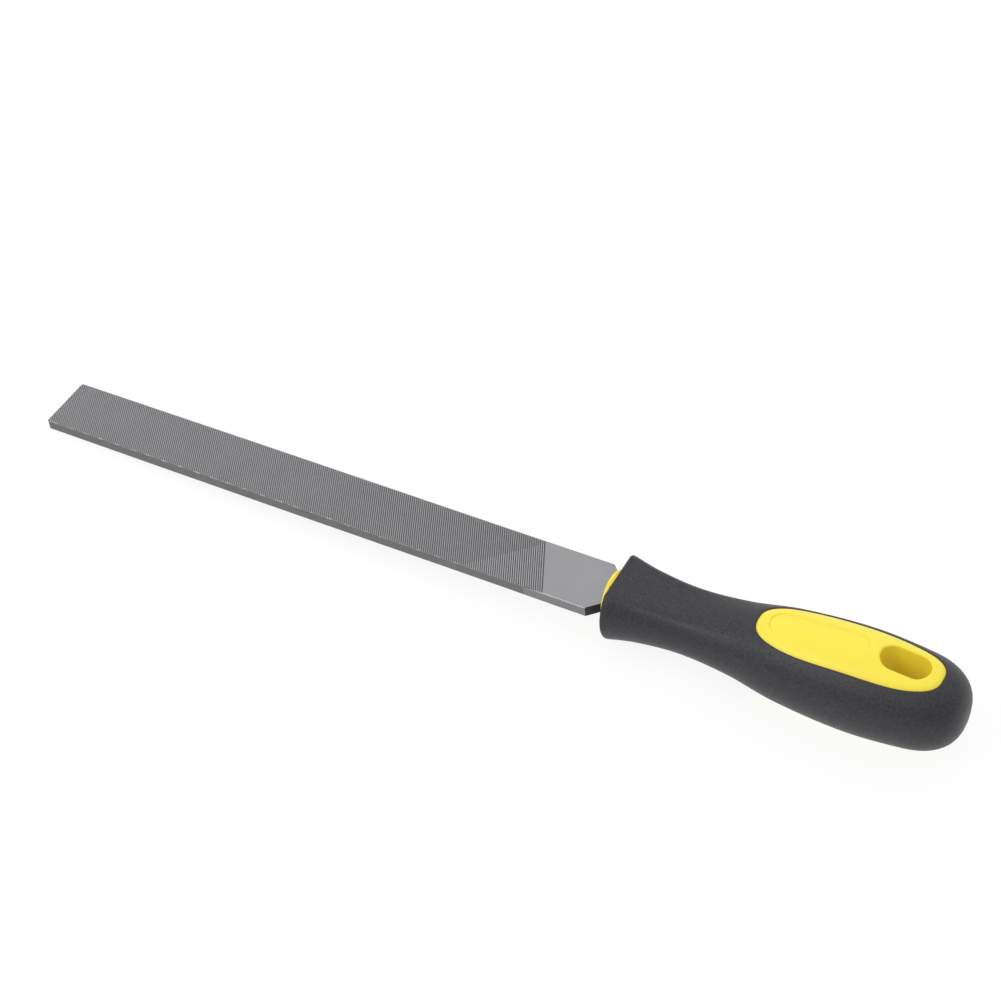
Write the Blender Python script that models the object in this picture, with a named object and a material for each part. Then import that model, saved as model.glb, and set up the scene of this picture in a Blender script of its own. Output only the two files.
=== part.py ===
"""A flat hand file for metalwork: a steel blade whose tang sits in a two-material handle.

X runs along the file, from the blade's tip (-X) to the handle's butt (+X). Y runs across the blade, and Z is
square to its two working faces. The origin is under the middle of the file, level with the handle's belly.

Lengths along the file are measured from the blade's shoulder, the line where its full width ends, and from the
file's own axis. place() then moves every piece into the frame above.
"""

import math

import bmesh
import bpy
from mathutils import Vector

MM = 0.001

# Blade: an 8 inch file.
BLADE_LENGTH = 203.0 * MM  # tip to shoulder
BLADE_WIDTH = 20.2 * MM
HEEL_LENGTH = 24.0 * MM  # smooth, flat stretch next to the shoulder
HEEL_THICKNESS = 3.8 * MM
BELLY_THICKNESS = 4.1 * MM  # the working faces are slightly convex along the file
BELLY_FROM_TIP = 80.0 * MM
TIP_THICKNESS = 3.8 * MM
TIP_CORNER = 0.7 * MM
EDGE_BREAK = 0.2 * MM

# Tang: 45 degree shoulders, then a long taper.
TANG_ROOT_WIDTH = 9.4 * MM
TANG_LENGTH = 58.0 * MM  # shoulder to point
TANG_POINT_WIDTH = 3.4 * MM
TANG_POINT_THICKNESS = 2.4 * MM

# Handle: round, with a flat above and below near its front that fades out into the belly.
SLEEVE_FRONT = 6.25 * MM
HANDLE_LENGTH = 111.25 * MM  # sleeve's front face to butt
PROFILE = (  # distance from the sleeve's front, radius
    (0.0, 13.6 * MM),
    (10.0 * MM, 11.55 * MM),
    (24.0 * MM, 10.4 * MM),  # waist
    (40.0 * MM, 11.55 * MM),
    (56.0 * MM, 14.35 * MM),
    (78.0 * MM, 15.85 * MM),  # belly
    (96.0 * MM, 14.75 * MM),  # the rounded butt starts here
    (HANDLE_LENGTH, 12.4 * MM),
)
BUTT_ROUNDNESS = 2.8  # superellipse exponent of the butt
RIDGE_ANGLE = math.radians(47.0)  # where the flats meet the round sides
FLAT_FADE = (22.0 * MM, 60.0 * MM)  # the flats turn round between these distances from the shoulder
FRONT_ROUND = 0.9 * MM

# Core and sleeve
WALL = 2.8 * MM  # sleeve's thickness over the core
GAP = 0.3 * MM  # clearance between neighbouring pieces
FRONT_WALL = 2.6 * MM
COLLAR_RADIUS = 8.0 * MM
COLLAR_FRONT = 4.0 * MM
COLLAR_ROUND = 0.6 * MM

# The core's window in the sleeve, the same above and below
WINDOW_CENTRE = 81.0 * MM
WINDOW_HALF_LENGTH = 28.5 * MM
WINDOW_HALF_WIDTH = 9.7 * MM
WINDOW_SQUARENESS = 2.8  # superellipse exponent of its outline
RECESS_ENDS = (60.5 * MM, 82.5 * MM)  # centres of the recess's round ends
RECESS_RADIUS = 4.35 * MM
RECESS_DEPTH = 0.8 * MM
HOLE_ENDS = (94.9 * MM, 101.1 * MM)  # centres of the hanging hole's round ends
HOLE_RADIUS = 4.45 * MM

# Mesh fineness
SIDE_STEPS = 12
TOP_STEPS = 8
BODY_STEP = 5.0 * MM
BUTT_STEPS = 8
OUTLINE_STEPS = 48
TURNED_STEPS = 32
SHARP_ANGLE = math.radians(35.0)
BEYOND = 20.0 * MM  # how far a cutter reaches past the axis, beyond every surface it cuts
PAST = 1.0 * MM  # how far a joined or cut body runs on past the face it meets

MIDDLE = (SLEEVE_FRONT + HANDLE_LENGTH - BLADE_LENGTH) / 2
REST_HEIGHT = max(radius for _, radius in PROFILE)


def clear_scene():
    for obj in list(bpy.data.objects):
        bpy.data.objects.remove(obj, do_unlink=True)


def make_material(name, colour, roughness, metallic=0.0):
    material = bpy.data.materials.new(name)
    material.use_nodes = True
    shader = material.node_tree.nodes["Principled BSDF"]
    shader.inputs["Base Color"].default_value = (*colour, 1.0)
    shader.inputs["Roughness"].default_value = roughness
    shader.inputs["Metallic"].default_value = metallic
    return material


def make_object(name, bm, material=None):
    """Turns a bmesh in the file's own axes into an object in its place."""
    bmesh.ops.recalc_face_normals(bm, faces=bm.faces)
    mesh = bpy.data.meshes.new(name)
    bm.to_mesh(mesh)
    bm.free()
    if material:
        mesh.materials.append(material)
    obj = bpy.data.objects.new(name, mesh)
    bpy.context.scene.collection.objects.link(obj)
    return place(obj)


def place(obj):
    obj.location = (-MIDDLE, 0.0, REST_HEIGHT)
    return obj


def make_helper(name, bm):
    """A cutter or a guide: it shapes other pieces and isn't one itself."""
    obj = make_object(name, bm)
    obj.hide_render = True
    obj.display_type = "WIRE"
    return obj


def boolean(obj, operation, other):
    modifier = obj.modifiers.new(f"{operation.lower()} {other.name}", "BOOLEAN")
    modifier.operation = operation
    modifier.object = other
    modifier.solver = "EXACT"


def smooth(obj):
    obj.data.shade_smooth()
    obj.data.set_sharp_from_angle(angle=SHARP_ANGLE)


def loft(sections):
    """A closed body through sections with equally many points. A section of one point is a pole."""
    bm = bmesh.new()
    rings = [[bm.verts.new(point) for point in section] for section in sections]
    for ring, following in zip(rings, rings[1:]):
        longest = max(len(ring), len(following))
        for i in range(longest):
            j = (i + 1) % longest
            corners = [ring[i % len(ring)], ring[j % len(ring)]]
            corners += [following[j % len(following)], following[i % len(following)]]
            bm.faces.new(dict.fromkeys(corners))
    for ring in (rings[0], rings[-1]):
        if len(ring) > 1:
            bm.faces.new(ring)
    return bm


def upright_prism(outline, half_height):
    return loft([[Vector((x, y, z)) for x, y in outline] for z in (-half_height, half_height)])


def capsule(ends, radius, steps=OUTLINE_STEPS):
    """The outline of a slot along X with round ends, seen from above."""
    half = steps // 2
    turns = [math.pi * (0.5 - i / half) for i in range(half + 1)]
    right = [(ends[1] + radius * math.cos(turn), radius * math.sin(turn)) for turn in turns]
    left = [(ends[0] - radius * math.cos(turn), -radius * math.sin(turn)) for turn in turns]
    return right + left


def superellipse(centre, half_length, half_width, exponent, steps=OUTLINE_STEPS):
    points = []
    for i in range(steps):
        turn = math.tau * (i + 0.5) / steps
        along, across = math.cos(turn), math.sin(turn)
        x = math.copysign(abs(along) ** (2 / exponent), along)
        y = math.copysign(abs(across) ** (2 / exponent), across)
        points.append((centre + half_length * x, half_width * y))
    return points


def profile_spline(distance):
    """The radius through PROFILE's points, on a Catmull-Rom curve."""
    last = len(PROFILE) - 1

    def slope(i):
        (x0, r0), (x1, r1) = PROFILE[max(i - 1, 0)], PROFILE[min(i + 1, last)]
        return (r1 - r0) / (x1 - x0)

    i = next((k for k in range(last) if distance <= PROFILE[k + 1][0]), last - 1)
    (x0, r0), (x1, r1) = PROFILE[i], PROFILE[i + 1]
    span = x1 - x0
    t = (distance - x0) / span
    return (
        (2 * t**3 - 3 * t**2 + 1) * r0
        + (t**3 - 2 * t**2 + t) * span * slope(i)
        + (3 * t**2 - 2 * t**3) * r1
        + (t**3 - t**2) * span * slope(i + 1)
    )


def handle_radius(x):
    """The handle's outer radius at x, butt included."""
    distance = x - SLEEVE_FRONT
    butt_start = PROFILE[-2][0]
    along = min(max((distance - butt_start) / (HANDLE_LENGTH - butt_start), 0.0), 1.0)
    return profile_spline(distance) * (1 - along**BUTT_ROUNDNESS) ** (1 / BUTT_ROUNDNESS)


def handle_stations(start, inset):
    """(x, radius) of the handle's sections from start to the butt, moved inwards by inset."""
    butt_start = SLEEVE_FRONT + PROFILE[-2][0]
    butt_end = SLEEVE_FRONT + HANDLE_LENGTH
    body_steps = round((butt_start - start) / BODY_STEP)
    places = [start + (butt_start - start) * i / body_steps for i in range(body_steps)]
    for i in range(BUTT_STEPS):
        places.append(butt_start + (butt_end - butt_start) * math.sin(math.pi / 2 * i / BUTT_STEPS))
    stations = []
    for x in places:
        slope = (handle_radius(x + 0.01 * MM) - handle_radius(x - 0.01 * MM)) / (0.02 * MM)
        length = math.hypot(1.0, slope)
        shift = inset * slope / length if x > start else 0.0
        stations.append((x + shift, handle_radius(x) - inset / length))
    return stations, butt_end - inset


def handle_section(x, radius):
    """One cross-section: round sides between two ridges, and a top that turns from flat to round."""
    fade = min(max((x - FLAT_FADE[0]) / (FLAT_FADE[1] - FLAT_FADE[0]), 0.0), 1.0)
    roundness = fade * fade * (3 - 2 * fade)
    ridge_y, ridge_z = radius * math.cos(RIDGE_ANGLE), radius * math.sin(RIDGE_ANGLE)
    half = []
    for i in range(SIDE_STEPS):
        turn = RIDGE_ANGLE * (2 * i / SIDE_STEPS - 1)
        half.append((radius * math.cos(turn), radius * math.sin(turn)))
    for i in range(TOP_STEPS):
        y = ridge_y * (1 - 2 * i / TOP_STEPS)
        z = ridge_z + roundness * (math.sqrt(radius**2 - y**2) - ridge_z)
        half.append((y, z))
    outline = half + [(-y, -z) for y, z in half]
    return [Vector((x, y, z)) for y, z in outline]


def handle_form(start, inset, front_round=0.0):
    """The handle's whole form from start to the butt, moved inwards by inset."""
    stations, butt = handle_stations(start, inset)
    if front_round:
        first_radius = stations[0][1]
        rounded = [(start, first_radius - front_round)]
        rounded.append((start + 0.3 * front_round, first_radius - 0.3 * front_round))
        stations = rounded + [(start + front_round, handle_radius(start + front_round))] + stations[1:]
    sections = [handle_section(x, radius) for x, radius in stations]
    return loft(sections + [[Vector((butt, 0.0, 0.0))]])


def turned(stations, steps=TURNED_STEPS):
    """A round body about the file's axis through (x, radius) stations."""
    turns = [math.tau * (i + 0.5) / steps for i in range(steps)]
    return loft([[Vector((x, r * math.cos(a), r * math.sin(a))) for a in turns] for x, r in stations])


def blade_section(x, width, thickness):
    y, z = width / 2, thickness / 2
    return [Vector((x, y, z)), Vector((x, -y, z)), Vector((x, -y, -z)), Vector((x, y, -z))]


def tang_sections(grow=0.0):
    """The 45 degree shoulder and the taper, from where the collar hides them to the point."""
    root_x = (BLADE_WIDTH - TANG_ROOT_WIDTH) / 2
    return [
        (root_x, TANG_ROOT_WIDTH + 2 * grow, HEEL_THICKNESS + 2 * grow),
        (TANG_LENGTH + grow, TANG_POINT_WIDTH + 2 * grow, TANG_POINT_THICKNESS + 2 * grow),
    ]


def make_blade(material):
    belly_x = BELLY_FROM_TIP - BLADE_LENGTH
    half_rise = (BELLY_THICKNESS + HEEL_THICKNESS) / 2
    stations = [
        (-BLADE_LENGTH, BLADE_WIDTH, TIP_THICKNESS),
        (belly_x, BLADE_WIDTH, BELLY_THICKNESS),
        ((belly_x - HEEL_LENGTH) / 2, BLADE_WIDTH, half_rise),
        (-HEEL_LENGTH, BLADE_WIDTH, HEEL_THICKNESS),
        (0.0, BLADE_WIDTH, HEEL_THICKNESS),
        *tang_sections(),
    ]
    bm = loft([blade_section(*station) for station in stations])
    weight = bm.edges.layers.float.new("bevel_weight_edge")
    for edge in bm.edges:
        middle = (edge.verts[0].co + edge.verts[1].co) / 2
        upright = abs(edge.verts[0].co.z - edge.verts[1].co.z) > 0
        at_tip = middle.x < MM - BLADE_LENGTH
        along = abs(edge.verts[0].co.x - edge.verts[1].co.x) > 0
        if at_tip and upright:
            edge[weight] = 1.0
        elif at_tip or along:
            edge[weight] = EDGE_BREAK / TIP_CORNER
    blade = make_object("file_blade", bm, material)
    bevel = blade.modifiers.new("edge break", "BEVEL")
    bevel.limit_method = "WEIGHT"
    bevel.width = TIP_CORNER
    bevel.segments = 1
    return blade


def window_outline(grow=0.0):
    return superellipse(
        WINDOW_CENTRE, WINDOW_HALF_LENGTH + grow, WINDOW_HALF_WIDTH + grow, WINDOW_SQUARENESS
    )


def collar_stations(grow=0.0):
    """The core's round nose, which shows in front of the sleeve."""
    radius, back = COLLAR_RADIUS + grow, SLEEVE_FRONT + FRONT_WALL + PAST
    return [
        (COLLAR_FRONT, radius - COLLAR_ROUND),
        (COLLAR_FRONT + COLLAR_ROUND, radius),
        (back, radius),
    ]


def make_core(material):
    """The hard core: it holds the tang, carries the hanging hole and shows in the windows and at the nose."""
    core = make_object("handle_core", handle_form(SLEEVE_FRONT + FRONT_WALL, WALL), material)
    window = make_helper("window_column", upright_prism(window_outline(), BEYOND))
    boolean(window, "INTERSECT", make_helper("outer_form", handle_form(SLEEVE_FRONT, 0.0)))
    boolean(core, "UNION", window)
    boolean(core, "UNION", make_helper("collar", turned(collar_stations())))

    mouth_x = COLLAR_FRONT - PAST
    mouth = (mouth_x, BLADE_WIDTH - 2 * mouth_x + 2 * GAP, HEEL_THICKNESS + 2 * GAP)
    socket = loft([blade_section(*station) for station in [mouth, *tang_sections(GAP)]])
    boolean(core, "DIFFERENCE", make_helper("tang_socket", socket))
    hole = upright_prism(capsule(HOLE_ENDS, HOLE_RADIUS), BEYOND)
    boolean(core, "DIFFERENCE", make_helper("hanging_hole", hole))

    recess = make_helper("recess", upright_prism(capsule(RECESS_ENDS, RECESS_RADIUS), BEYOND))
    floor = make_helper("recess_floor", handle_form(SLEEVE_FRONT, RECESS_DEPTH))
    boolean(recess, "DIFFERENCE", floor)
    boolean(core, "DIFFERENCE", recess)
    smooth(core)
    return core


def make_sleeve(material):
    """The soft sleeve moulded over the core, open at its front and at both windows."""
    sleeve = make_object("grip_sleeve", handle_form(SLEEVE_FRONT, 0.0, FRONT_ROUND), material)
    room = handle_form(SLEEVE_FRONT + FRONT_WALL - GAP, WALL - GAP)
    boolean(sleeve, "DIFFERENCE", make_helper("room_for_core", room))
    window = upright_prism(window_outline(GAP), BEYOND)
    boolean(sleeve, "DIFFERENCE", make_helper("window_opening", window))
    boolean(sleeve, "DIFFERENCE", make_helper("collar_opening", turned(collar_stations(GAP))))
    smooth(sleeve)
    return sleeve


def main():
    clear_scene()
    make_blade(make_material("cut_steel", (0.24, 0.24, 0.25), 0.4, metallic=1.0))
    make_core(make_material("yellow_plastic", (0.86, 0.72, 0.03), 0.4))
    make_sleeve(make_material("dark_rubber", (0.045, 0.045, 0.05), 0.6))


main()
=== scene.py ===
"""The looks of a flat hand file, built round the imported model.

Shapes are written in the file's own axes: x from the blade's shoulder towards the butt, y across, and z
square to the working faces, with y = z = 0 on the file's axis. finish_piece() moves each mesh into the frame.
"""

import math

import bmesh
import bpy
import numpy as np
from mathutils import Matrix, Vector
from mathutils.geometry import delaunay_2d_cdt


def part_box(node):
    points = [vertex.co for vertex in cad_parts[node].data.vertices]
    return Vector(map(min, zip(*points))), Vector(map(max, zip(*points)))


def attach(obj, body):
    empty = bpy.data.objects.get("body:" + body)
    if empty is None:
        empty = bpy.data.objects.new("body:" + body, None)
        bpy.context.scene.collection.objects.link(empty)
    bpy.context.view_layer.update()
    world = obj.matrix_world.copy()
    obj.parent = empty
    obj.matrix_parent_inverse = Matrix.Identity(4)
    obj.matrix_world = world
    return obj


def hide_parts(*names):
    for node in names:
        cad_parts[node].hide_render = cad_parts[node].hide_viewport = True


MM = 0.001

# Blade
BLADE_LENGTH = 203.0 * MM
BLADE_HALF_WIDTH = 10.1 * MM
HEEL_HALF_THICKNESS = 1.9 * MM
BELLY_RISE = 0.15 * MM  # the working faces are convex along the file
BELLY_FROM_TIP = 80.0 * MM
HEEL_LENGTH = 24.0 * MM
EDGE_BREAK = 0.24 * MM
TIP_CORNER = 0.7 * MM
TIP_STEPS = 3
TANG_ROOT_HALF_WIDTH = 4.7 * MM
TANG_LENGTH = 58.0 * MM
TANG_POINT_HALF = (1.7 * MM, 1.2 * MM)

# Teeth: (direction the rows step in, degrees from +X; pitch; depth; where the rows end, measured that way)
UPCUT_TURN, UPCUT_PITCH, UPCUT_DEPTH, UPCUT_END = 25.2, 0.675 * MM, 0.26 * MM, -17.2 * MM
OVERCUT_TURN, OVERCUT_PITCH, OVERCUT_DEPTH, OVERCUT_END = -45.0, 0.78 * MM, 0.05 * MM, -23.3 * MM
EDGE_CUT_TURN, EDGE_CUT_PITCH, EDGE_CUT_DEPTH, EDGE_CUT_END = 22.0, 0.62 * MM, 0.10 * MM, -21.2 * MM
CREST = (0.30, 0.42)  # shares of the pitch: a tooth rises steeply to the first, is worn flat to the second
NOTCH = (0.5, 0.5)  # the overcut and the narrow edges' cuts are plain V grooves
CUT, GROUND, CUT_EDGE, HEEL_EDGE_SHADE, FORGED_SHADE = range(5)  # the blade's materials, in their order on the piece

# Handle
SLEEVE_FRONT = 6.25 * MM
HANDLE_LENGTH = 111.25 * MM
PROFILE = MM * np.array(  # distance from the sleeve's front, radius
    [(0, 13.6), (10, 11.55), (24, 10.4), (40, 11.55), (56, 14.35), (78, 15.85), (96, 14.75), (111.25, 12.4)]
)
BUTT_START = SLEEVE_FRONT + PROFILE[-2][0]
BUTT_END = SLEEVE_FRONT + HANDLE_LENGTH
BUTT_ROUNDNESS = 2.8
RIDGE_ANGLE = math.radians(47.0)
RIDGE_SOFTNESS = 1.1 * MM
FLAT_FADE = (22.0 * MM, 60.0 * MM)
FRONT_ROUND = 0.9 * MM
WALL = 2.8 * MM
FRONT_WALL = 2.6 * MM
SEAM = 0.05 * MM  # the hairline between sleeve and core
SKIN_INSET = 0.03 * MM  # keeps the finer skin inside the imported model's box

COLLAR_RADIUS = 8.0 * MM
COLLAR_FRONT = 4.0 * MM
COLLAR_ROUND = 0.6 * MM

WINDOW_CENTRE = 81.0 * MM
WINDOW_HALF_LENGTH = 28.5 * MM
WINDOW_HALF_WIDTH = 9.7 * MM
WINDOW_SQUARENESS = 2.8
LIP = 0.40 * MM  # the sleeve's edge is rolled over round the windows
RIM_WIDTH, RIM_DROP = 1.6 * MM, 0.55 * MM  # the core's face falls away towards the same seam
RECESS_ENDS = (60.5 * MM, 82.5 * MM)
RECESS_RADIUS = 4.35 * MM
RECESS_DEPTH = 0.8 * MM
RECESS_SOFTNESS = 0.38 * MM
HOLE_ENDS = (94.9 * MM, 101.1 * MM)
HOLE_RADIUS = 4.45 * MM
HOLE_LIP = 0.7 * MM

# Mesh fineness
SKIN_STEP = 1.25 * MM
PATCH_STEP = 0.8 * MM
RIDGE_STEP = 1.1 * MM
ROW_SPACING = 0.866  # of a step, so that a grid's triangles are nearly equal
CHART_RADIUS = 13.0 * MM  # turns become lengths on the sleeve's chart at this radius
BUTT_CAP = 2.2 * MM  # the last of the butt is closed with rings, not charted
NEAR = 1e-7  # metres: places closer than this are one place


def smoothstep(value):
    """0 to 1 as value goes from 0 to 1, level at both ends."""
    value = np.clip(value, 0.0, 1.0)
    return value * value * (3 - 2 * value)


# ------------------------------------------------------------------------------------------ the handle's form


def profile_radius(distance):
    """The radius through PROFILE's points, on a Catmull-Rom curve."""
    places, radii = PROFILE.T
    order = np.arange(len(places))
    before, after = np.maximum(order - 1, 0), np.minimum(order + 1, len(places) - 1)
    slopes = (radii[after] - radii[before]) / (places[after] - places[before])
    i = np.clip(np.searchsorted(places, distance, side="right") - 1, 0, len(places) - 2)
    span = places[i + 1] - places[i]
    t = (distance - places[i]) / span
    return (
        (2 * t**3 - 3 * t**2 + 1) * radii[i]
        + (t**3 - 2 * t**2 + t) * span * slopes[i]
        + (3 * t**2 - 2 * t**3) * radii[i + 1]
        + (t**3 - t**2) * span * slopes[i + 1]
    )


def handle_radius(x):
    """The handle's radius at x, before its flats, with the butt rounded off."""
    along = np.clip((x - BUTT_START) / (BUTT_END - BUTT_START), 0.0, 1.0)
    rounding = (1 - along**BUTT_ROUNDNESS) ** (1 / BUTT_ROUNDNESS)
    return profile_radius(x - SLEEVE_FRONT) * rounding - SKIN_INSET


def meridian():
    """x, radius and distance along the skin, from the sleeve's front to the middle of the butt."""
    butt_turn = np.linspace(0.0, math.pi / 2, 1200)
    x = np.concatenate(
        [
            np.linspace(SLEEVE_FRONT, BUTT_START, 1200, endpoint=False),
            BUTT_START + (BUTT_END - BUTT_START - SKIN_INSET) * np.sin(butt_turn),
        ]
    )
    radius = np.maximum(handle_radius(x), 0.0)
    radius[-1] = 0.0
    along = np.concatenate([[0.0], np.cumsum(np.hypot(np.diff(x), np.diff(radius)))])
    return x, radius, along


MERIDIAN_X, MERIDIAN_RADIUS, MERIDIAN_ALONG = meridian()


def along_at(x):
    """The distance along the skin, from its front, at x."""
    return np.interp(x, MERIDIAN_X, MERIDIAN_ALONG)


def form_point(along, turn):
    """A point of the handle's skin: along the skin from its front, and a turn about the axis from +Y."""
    x = np.interp(along, MERIDIAN_ALONG, MERIDIAN_X)
    radius = np.interp(along, MERIDIAN_ALONG, MERIDIAN_RADIUS)
    y, arc = radius * np.cos(turn), radius * np.abs(np.sin(turn))
    roundness = smoothstep((x - FLAT_FADE[0]) / (FLAT_FADE[1] - FLAT_FADE[0]))
    ridge = radius * math.sin(RIDGE_ANGLE)
    flat = ridge + roundness * (arc - ridge)
    softness = RIDGE_SOFTNESS * (1 - roundness) + 1e-9
    overlap = np.maximum(softness - np.abs(arc - flat), 0.0) / softness
    z = np.minimum(arc, flat) - overlap**2 * softness / 4
    return np.stack([x, y, z * np.sign(np.sin(turn))], axis=-1)


def skin(along, turn, depth):
    """A point of the skin, moved inwards by depth. Near the front it moves in without moving along."""
    step, turn_step, upright_until = 0.02 * MM, 0.002, 12 * MM
    last = MERIDIAN_ALONG[-1]
    back, ahead = np.clip(along - step, 0.0, last), np.clip(along + step, 0.0, last)
    lengthwise = form_point(ahead, turn) - form_point(back, turn)
    around = form_point(along, turn + turn_step) - form_point(along, turn - turn_step)
    normal = np.cross(around, lengthwise)
    normal /= np.maximum(np.linalg.norm(normal, axis=-1, keepdims=True), 1e-18)
    point = form_point(along, turn)
    lean = smoothstep((point[..., 0] - SLEEVE_FRONT - FRONT_WALL) / upright_until)
    normal[..., 0] *= lean
    return point - depth[..., None] * normal


def height_over(x, y):
    """How high the skin stands over the point (x, y)."""
    along = along_at(x)
    radius = np.interp(along, MERIDIAN_ALONG, MERIDIAN_RADIUS)
    return form_point(along, np.arccos(np.clip(y / radius, -1.0, 1.0)))[..., 2]


# ------------------------------------------------------------------------------------------- outlines in plan


def superellipse(grow, steps=176):
    """The window's outline, grown by so much."""
    turn = math.tau * (np.arange(steps) + 0.5) / steps
    across, along = np.sin(turn), np.cos(turn)
    power = 2 / WINDOW_SQUARENESS
    x = WINDOW_CENTRE + (WINDOW_HALF_LENGTH + grow) * np.sign(along) * np.abs(along) ** power
    y = (WINDOW_HALF_WIDTH + grow) * np.sign(across) * np.abs(across) ** power
    return even_loop(np.stack([x, y], axis=-1), steps)


def even_loop(points, steps):
    """The same closed outline with its points evenly spaced."""
    closed = np.vstack([points, points[:1]])
    length = np.concatenate([[0.0], np.cumsum(np.linalg.norm(np.diff(closed, axis=0), axis=1))])
    wanted = np.linspace(0.0, length[-1], steps, endpoint=False)
    return np.stack([np.interp(wanted, length, closed[:, k]) for k in (0, 1)], axis=-1)


def beyond_window(x, y):
    """About how far (x, y) lies outside the window's outline; negative inside."""
    dx, dy = np.abs(x - WINDOW_CENTRE) / WINDOW_HALF_LENGTH, np.abs(y) / WINDOW_HALF_WIDTH
    n = WINDOW_SQUARENESS
    level = np.maximum((dx**n + dy**n) ** (1 / n), 1e-6)
    slope_x = (dx / level) ** (n - 1) / WINDOW_HALF_LENGTH
    slope_y = (dy / level) ** (n - 1) / WINDOW_HALF_WIDTH
    return (level - 1) / np.hypot(slope_x, slope_y)


def capsule(ends, radius, steps):
    """The outline of a slot with round ends, centred on y = 0."""
    half = steps // 2
    turn = math.pi * (0.5 - np.arange(half + 1) / half)
    right = np.stack([ends[1] + radius * np.cos(turn), radius * np.sin(turn)], axis=-1)
    left = np.stack([ends[0] - radius * np.cos(turn), -radius * np.sin(turn)], axis=-1)
    return even_loop(np.vstack([right, left]), steps)


def beyond_capsule(x, y, ends, radius):
    """How far (x, y) lies outside the slot's outline; negative inside."""
    return np.hypot(x - np.clip(x, *ends), y) - radius


def rolled(distance, radius):
    """How far a rolled-over edge has dropped at this distance from it."""
    return radius - np.sqrt(radius**2 - np.clip(radius - distance, 0.0, radius) ** 2)


# ---------------------------------------------------------------------------------------------- mesh building


class Sheet:
    """Points and closed or open lines in a plane, triangulated together."""

    def __init__(self):
        self.points, self.edges = [], []

    def line(self, points, closed=False):
        first = len(self.points)
        self.points += [tuple(p) for p in points]
        order = list(range(first, len(self.points)))
        self.edges += list(zip(order, order[1:] + ([first] if closed else [])))

    def scatter(self, points):
        self.points += [tuple(p) for p in points]

    def triangulate(self):
        points = [Vector(p) / MM for p in self.points]
        made, _, faces, *_ = delaunay_2d_cdt(points, self.edges, [], 0, 1e-5)
        return np.array([tuple(p) for p in made]) * MM, np.array([f for f in faces if len(f) == 3])


def hex_grid(low, high, step):
    """Points in rows over a rectangle, every second row moved along by half a step."""
    rows = np.arange(low[1] + step / 2, high[1], step * ROW_SPACING)
    grid = []
    for k, row in enumerate(rows):
        places = np.arange(low[0] + step * (0.5 + 0.5 * (k % 2)), high[0] - step / 3, step)
        grid.append(np.stack([places, np.full_like(places, row)], axis=-1))
    return np.vstack(grid)


def border_loops(bm):
    """The boundary's closed loops, as lists of vertices."""
    # A dict, not a set, because it keeps its order: the loops come out the same on every run.
    open_edges = dict.fromkeys(edge for edge in bm.edges if edge.is_boundary)
    loops = []
    while open_edges:
        edge, _ = open_edges.popitem()
        loop = [edge.verts[0], edge.verts[1]]
        while loop[-1] is not loop[0]:
            step = next(e for e in loop[-1].link_edges if e in open_edges)
            del open_edges[step]
            loop.append(step.other_vert(loop[-1]))
        loops.append(loop[:-1])
    return loops


def bridge_rings(bm, rings):
    """Quads between neighbouring rings of equally many vertices."""
    for ring, following in zip(rings, rings[1:]):
        for i in range(len(ring)):
            j = (i + 1) % len(ring)
            bm.faces.new((ring[i], ring[j], following[j], following[i]))


def add_ring(bm, points):
    return [bm.verts.new(p) for p in points]


def finish_piece(name, bm, node, materials, sharp_deg=38):
    """Turns a bmesh in the file's own axes into a piece in its place, which stands for a CAD node."""
    bmesh.ops.recalc_face_normals(bm, faces=bm.faces)
    mesh = bpy.data.meshes.new(name)
    bm.to_mesh(mesh)
    bm.free()
    mesh.transform(TO_FRAME)
    for material in materials:
        mesh.materials.append(material)
    if sharp_deg:
        mesh.shade_smooth()
        mesh.set_sharp_from_angle(angle=math.radians(sharp_deg))
    piece = bpy.data.objects.new(name, mesh)
    bpy.context.scene.collection.objects.link(piece)
    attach(piece, "root")
    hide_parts(node)


def temporary(name, bm):
    """A bmesh as an object that combine() uses and removes."""
    bmesh.ops.recalc_face_normals(bm, faces=bm.faces)
    mesh = bpy.data.meshes.new(name)
    bm.to_mesh(mesh)
    bm.free()
    obj = bpy.data.objects.new(name, mesh)
    bpy.context.scene.collection.objects.link(obj)
    return obj


def combine(base, steps):
    """The base bmesh after each (operation, bmesh) in turn, as a new bmesh."""
    made = [temporary("base", base)]
    for operation, other in steps:
        made.append(temporary("other", other))
        modifier = made[0].modifiers.new(operation, "BOOLEAN")
        modifier.operation, modifier.object, modifier.solver = operation, made[-1], "EXACT"
    bpy.context.view_layer.update()
    result = bmesh.new()
    result.from_object(made[0], bpy.context.evaluated_depsgraph_get())
    for obj in made:
        bpy.data.objects.remove(obj, do_unlink=True)
    return result


# ------------------------------------------------------------------------------------------------------ blade


def half_thickness(x):
    """From the blade's middle plane to its working face, which bulges a little along its length."""
    belly = BELLY_FROM_TIP - BLADE_LENGTH
    towards_tip = np.cos(math.pi / 2 * np.clip((belly - x) / BELLY_FROM_TIP, 0.0, 1.0))
    towards_heel = 1 - smoothstep((x - belly) / (-HEEL_LENGTH - belly))
    return HEEL_HALF_THICKNESS + BELLY_RISE * np.where(x < belly, towards_tip, towards_heel)


def stepping(turn_deg):
    """The direction in which rows of teeth step."""
    turn = math.radians(turn_deg)
    return np.array([math.cos(turn), math.sin(turn)])


def wave(phase, crest):
    """0 on the crest of a cut and 1 at the bottom of its groove, with straight flanks between."""
    share = phase - np.floor(phase)
    return np.maximum(np.maximum(1 - share / crest[0], (share - crest[1]) / (1 - crest[1])), 0.0)


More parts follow.
